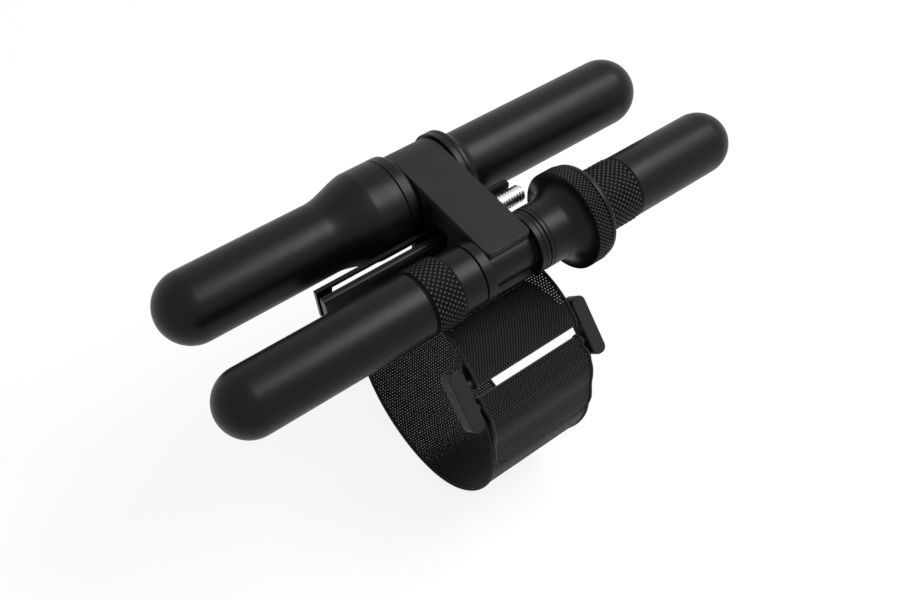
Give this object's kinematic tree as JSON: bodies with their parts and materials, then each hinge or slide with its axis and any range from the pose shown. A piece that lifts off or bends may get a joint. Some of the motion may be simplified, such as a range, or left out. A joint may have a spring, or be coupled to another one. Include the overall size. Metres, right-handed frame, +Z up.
{
  "type": "strap-on tyre inflation and repair kit",
  "caption": "Two capped tubes, a gas inflator and a tyre plug tool, held side by side in a clip carrier with a mounting rail, strapped to a bicycle frame by a buckled webbing loop.",
  "frame": {"origin": "middle of the saddle pad's flat underside, where the kit sits on the bicycle frame", "axes": "+X along the tubes towards the guard bell's cap, +Y from the plug tool to the inflator, +Z up out of the saddle"},
  "size_m": [0.1961, 0.0876, 0.1153],
  "materials": {
    "black_anodised": "black anodised, satin",
    "black_plastic": "moulded, fine matte",
    "black_rubber": "matt",
    "webbing": "open mesh weave",
    "plated_steel": "bright plated"
  },
  "bodies": {
    "carrier": {"carrier_body": "black_plastic", "clip_plate": "black_plastic", "saddle_pad": "black_rubber", "mount_rail": "black_anodised", "rail_stud": "plated_steel", "strap": "webbing", "strap_buckle": "black_plastic"},
    "inflator": {"inflator_head": "black_anodised", "co2_cartridge": "plated_steel", "pierce_pin": "plated_steel", "cartridge_seal": "black_rubber", "cover_o_ring": "black_rubber", "valve_chuck": "black_anodised", "chuck_gasket": "black_rubber"},
    "canister_ring": {"canister_seal": "black_rubber"},
    "canister_cup": {"canister": "black_anodised"},
    "cover": {"nozzle_cover": "black_anodised"},
    "tool": {"tool_handle": "black_anodised", "guard_bell": "black_anodised", "reamer": "plated_steel", "reamer_collet": "plated_steel", "plug_fork": "plated_steel", "plug_collet": "plated_steel", "plug_strip": "black_rubber"},
    "reamer_cap_ring": {"reamer_cap_seal": "black_rubber"},
    "reamer_cover": {"reamer_cap": "black_anodised"},
    "plug_cap_ring": {"plug_cap_seal": "black_rubber"},
    "plug_cover": {"plug_cap": "black_anodised"}
  },
  "joints": [
    {"name": "inflator_turn", "type": "hinge", "parent": "carrier", "child": "inflator", "pos_m": [0, 0.01955, 0.022], "axis": [1, 0, 0], "continuous": true},
    {"name": "canister_travel", "type": "slide", "parent": "inflator", "child": "canister_ring", "axis": [-1, 0, 0], "range_m": [0, 0.006]},
    {"name": "canister_turn", "type": "hinge", "parent": "canister_ring", "child": "canister_cup", "pos_m": [0, 0.01955, 0.022], "axis": [-1, 0, 0], "range_deg": [0, 720]},
    {"name": "nozzle_cover_pull", "type": "slide", "parent": "inflator", "child": "cover", "axis": [1, 0, 0], "range_m": [0, 0.03]},
    {"name": "tool_turn", "type": "hinge", "parent": "carrier", "child": "tool", "pos_m": [0, -0.01955, 0.02545], "axis": [1, 0, 0], "continuous": true},
    {"name": "reamer_cap_travel", "type": "slide", "parent": "tool", "child": "reamer_cap_ring", "axis": [-1, 0, 0], "range_m": [0, 0.006]},
    {"name": "reamer_cap_turn", "type": "hinge", "parent": "reamer_cap_ring", "child": "reamer_cover", "pos_m": [0, -0.01955, 0.02545], "axis": [-1, 0, 0], "range_deg": [0, 720]},
    {"name": "plug_cap_travel", "type": "slide", "parent": "tool", "child": "plug_cap_ring", "axis": [1, 0, 0], "range_m": [0, 0.006]},
    {"name": "plug_cap_turn", "type": "hinge", "parent": "plug_cap_ring", "child": "plug_cover", "pos_m": [0, -0.01955, 0.02545], "axis": [1, 0, 0], "range_deg": [0, 720]}
  ],
  "couplings": [
    {"joint": "canister_travel", "follows": "canister_turn", "m_per_rad": 0.00047746},
    {"joint": "reamer_cap_travel", "follows": "reamer_cap_turn", "m_per_rad": 0.00047746},
    {"joint": "plug_cap_travel", "follows": "plug_cap_turn", "m_per_rad": 0.00047746}
  ]
}
